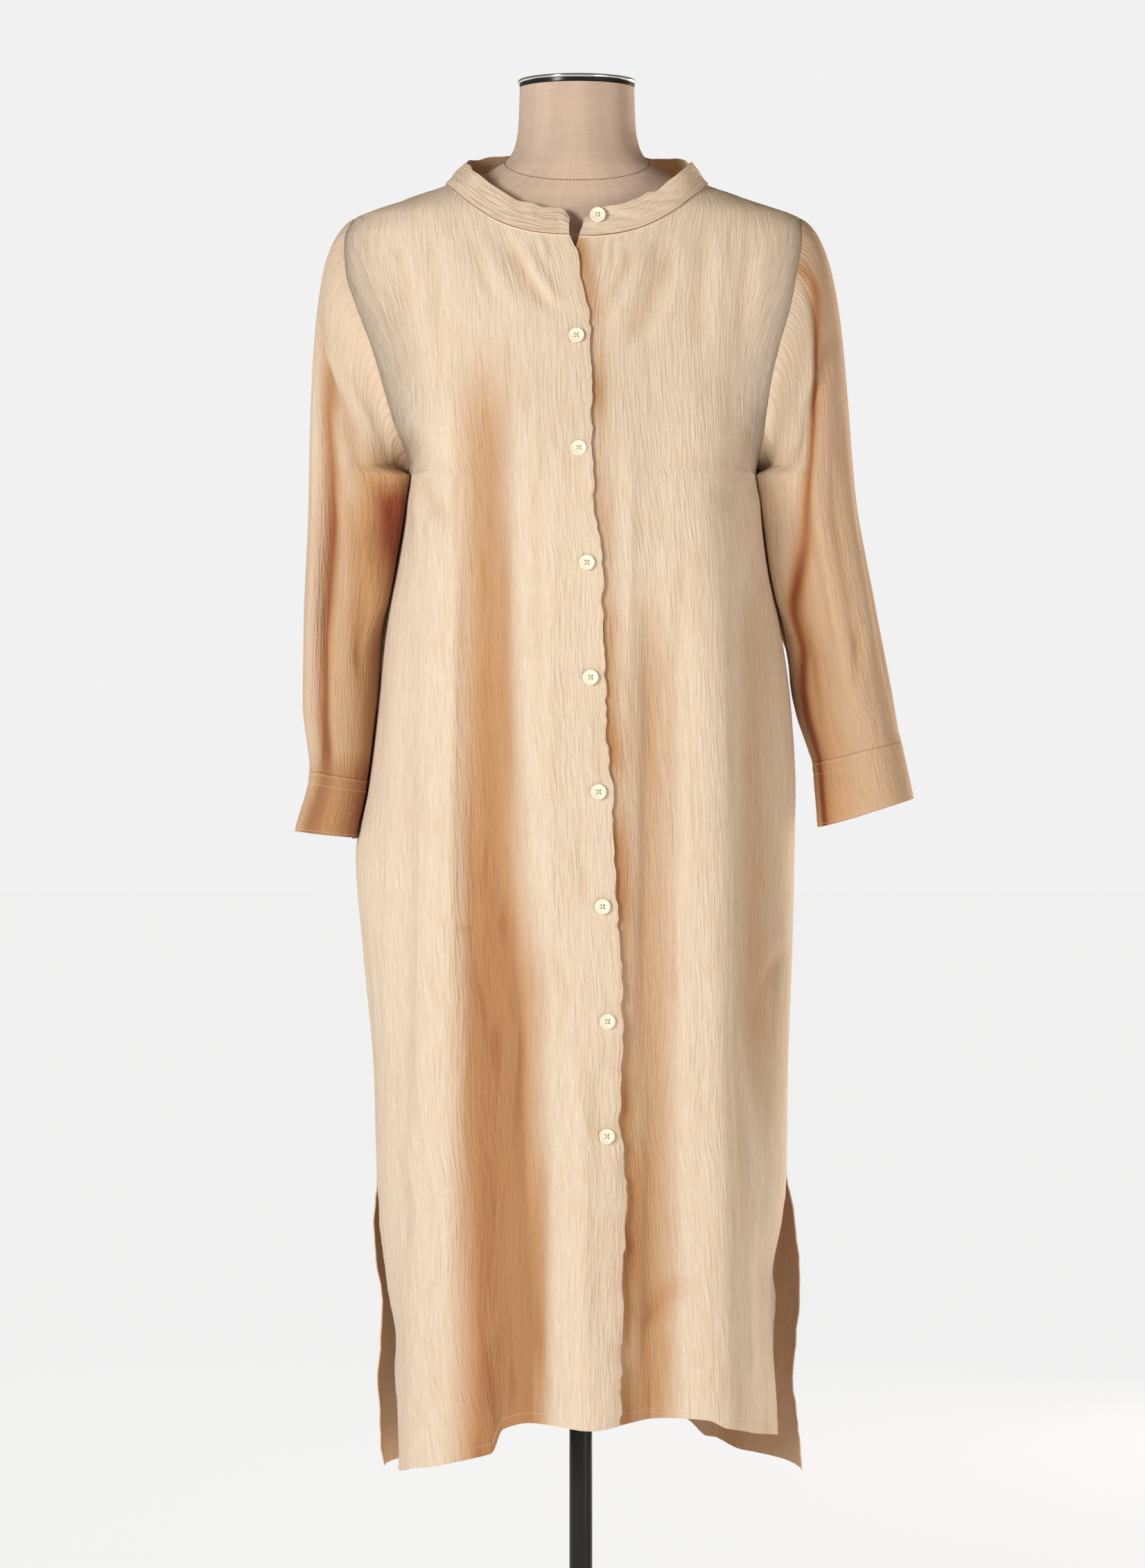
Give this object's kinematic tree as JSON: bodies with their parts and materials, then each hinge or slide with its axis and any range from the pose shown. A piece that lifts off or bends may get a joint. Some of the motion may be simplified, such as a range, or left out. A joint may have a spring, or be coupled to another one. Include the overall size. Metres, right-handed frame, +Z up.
{
  "type": "maxi dress on a dress form",
  "caption": "Long-sleeved button-through maxi dress in crinkled cotton with a band collar and side slits, standing on a limbless dress form with pole and round foot",
  "frame": {"origin": "underside of the foot, on the pole's axis", "axes": "+Z up, -Y towards the dress's front, +X towards the wearer's left"},
  "size_m": [0.5629, 0.3, 1.5498],
  "materials": {
    "cloth": "apricot crinkled cotton gauze, plain weave, matt",
    "button": "cream, softly polished",
    "linen": "sandy brown linen cover, coarse weave",
    "chrome": "polished rim round a dark top",
    "black": "glossy black"
  },
  "bodies": {
    "root": {"front_right": "cloth", "front_left": "cloth", "back": "cloth", "collar_band": "cloth", "sleeve_right": "cloth", "sleeve_left": "cloth", "cuff_right": "cloth", "cuff_left": "cloth", "button_collar": "button", "button_1": "button", "button_2": "button", "button_3": "button", "button_4": "button", "button_5": "button", "button_6": "button", "button_7": "button", "button_8": "button", "form_torso": "linen", "form_neck_cap": "chrome", "form_pole": "black", "form_base": "black"}
  },
  "joints": []
}
